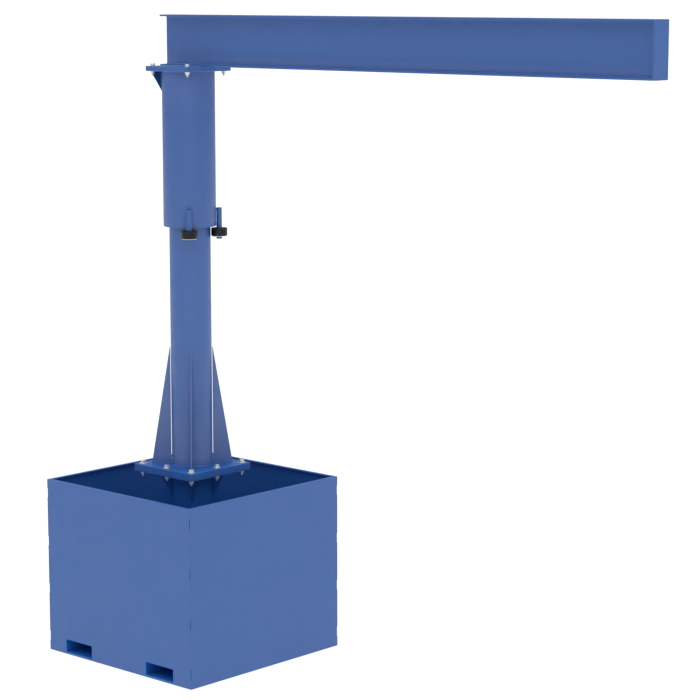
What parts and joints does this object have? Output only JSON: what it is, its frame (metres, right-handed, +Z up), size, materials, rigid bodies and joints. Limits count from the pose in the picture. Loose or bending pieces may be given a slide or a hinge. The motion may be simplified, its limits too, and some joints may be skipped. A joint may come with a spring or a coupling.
{
  "type": "jib crane",
  "caption": "Free-standing jib crane on an open ballast box with fork pockets; the I-beam jib swings freely round its mast.",
  "frame": {"origin": "middle of the box's underside, on the mast axis at floor level", "axes": "+Z up along the mast, +X along the jib from mast to tip, +Y across the jib, along the fork pockets"},
  "size_m": [3.4258, 1.0668, 3.2982],
  "materials": {
    "box_paint": "semi-gloss blue",
    "mast_paint": "semi-gloss blue",
    "jib_paint": "semi-gloss blue",
    "roller_black": "satin black",
    "bare_steel": "turned and oiled"
  },
  "bodies": {
    "base": {"box_floor": "box_paint", "wall_pocket_near": "box_paint", "wall_pocket_far": "box_paint", "wall_side_jib": "box_paint", "wall_side_rear": "box_paint", "box_rim": "box_paint", "fork_tube_jib": "box_paint", "fork_tube_rear": "box_paint", "pedestal_pipe": "box_paint", "pedestal_flange": "box_paint", "pedestal_gusset_1": "box_paint", "pedestal_gusset_2": "box_paint", "pedestal_gusset_3": "box_paint", "pedestal_gusset_4": "box_paint", "mast_base_plate": "mast_paint", "mast_pipe": "mast_paint", "mast_gusset_1": "mast_paint", "mast_gusset_2": "mast_paint", "mast_gusset_3": "mast_paint", "mast_gusset_4": "mast_paint", "mast_cap": "mast_paint", "pivot_pin": "bare_steel"},
    "jib": {"bearing_hub": "bare_steel", "head_sleeve": "jib_paint", "sleeve_top_plate": "jib_paint", "beam_mount_plate": "jib_paint", "head_gusset_near": "jib_paint", "head_gusset_far": "jib_paint", "jib_beam": "jib_paint", "beam_end_plate": "jib_paint", "roller_pin_near": "jib_paint", "roller_pin_far": "jib_paint", "roller_washer_near": "bare_steel", "roller_washer_far": "bare_steel", "roller_clip_near": "bare_steel", "roller_clip_far": "bare_steel"},
    "roller_near": {"roller_near": "roller_black"},
    "roller_far": {"roller_far": "roller_black"}
  },
  "joints": [
    {"name": "slew", "type": "hinge", "parent": "base", "child": "jib", "pos_m": [0, 0, 2.985], "axis": [0, 0, 1], "continuous": true},
    {"name": "roller_near_spin", "type": "hinge", "parent": "jib", "child": "roller_near", "pos_m": [0.10585, -0.10585, 2.198], "axis": [0, 0, 1], "continuous": true},
    {"name": "roller_far_spin", "type": "hinge", "parent": "jib", "child": "roller_far", "pos_m": [0.10585, 0.10585, 2.198], "axis": [0, 0, 1], "continuous": true}
  ],
  "couplings": [
    {"joint": "roller_near_spin", "follows": "slew", "ratio": 2.5446},
    {"joint": "roller_far_spin", "follows": "slew", "ratio": 2.5446}
  ]
}
